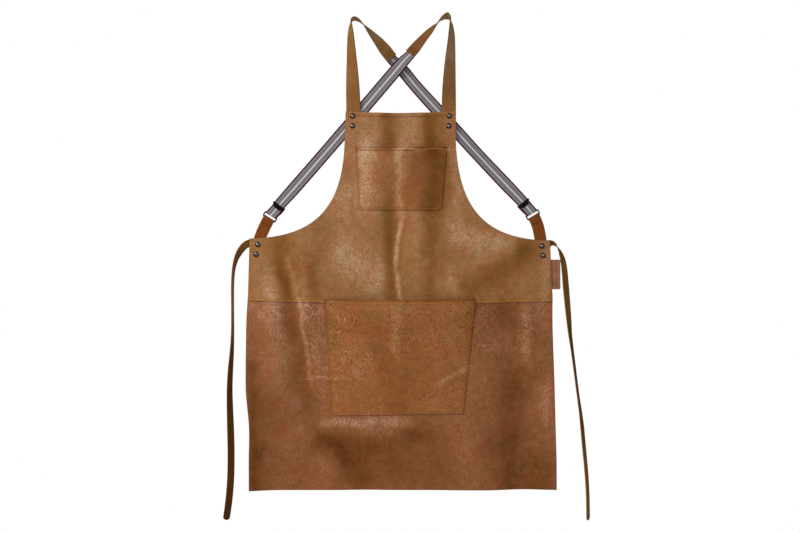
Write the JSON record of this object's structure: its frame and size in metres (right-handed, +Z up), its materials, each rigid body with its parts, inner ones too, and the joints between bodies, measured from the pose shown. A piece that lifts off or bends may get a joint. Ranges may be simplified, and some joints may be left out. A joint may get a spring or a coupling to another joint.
{
  "type": "leather apron",
  "caption": "Brown leather bib apron with chest and skirt patch pockets, riveted shoulder straps, crossed striped elastics on sliders, and hanging waist ties.",
  "frame": {"origin": "midway between the two shoulder loops, at the height where they hang", "axes": "+Z up along the hanging apron, -Y out of its front, +X to the right seen from the front"},
  "size_m": [0.7706, 0.0399, 1.067],
  "materials": {
    "bib_hide": "waxed pull-up leather, matt to satin, lighter where it rolls",
    "skirt_hide": "grained leather, satin, redder than the bib",
    "strap_leather": "smooth strap leather, satin",
    "tab_leather": "napped leather, matt",
    "tie_leather": "smooth dark leather, satin",
    "label_leather": "smooth red-brown leather, bare",
    "striped_elastic": "ribbed grey elastic, pale centre stripe, maroon edges",
    "black_steel": "black enamel, semi-gloss",
    "gunmetal": "dark polished domes"
  },
  "bodies": {
    "root": {"bib_panel": "bib_hide", "chest_pocket": "bib_hide", "skirt_panel": "skirt_hide", "skirt_pocket": "skirt_hide", "side_label": "label_leather", "shoulder_strap_left": "strap_leather", "elastic_strap_left": "striped_elastic", "waist_tab_left": "tab_leather", "waist_tie_left": "tie_leather", "slider_left": "black_steel", "ring_left": "black_steel", "shoulder_strap_right": "strap_leather", "elastic_strap_right": "striped_elastic", "waist_tab_right": "tab_leather", "waist_tie_right": "tie_leather", "slider_right": "black_steel", "ring_right": "black_steel", "rivet_bib_left_upper": "gunmetal", "rivet_bib_left_lower": "gunmetal", "rivet_bib_right_upper": "gunmetal", "rivet_bib_right_lower": "gunmetal", "rivet_waist_left_upper": "gunmetal", "rivet_waist_left_lower": "gunmetal", "rivet_waist_right_upper": "gunmetal", "rivet_waist_right_lower": "gunmetal"}
  },
  "joints": []
}
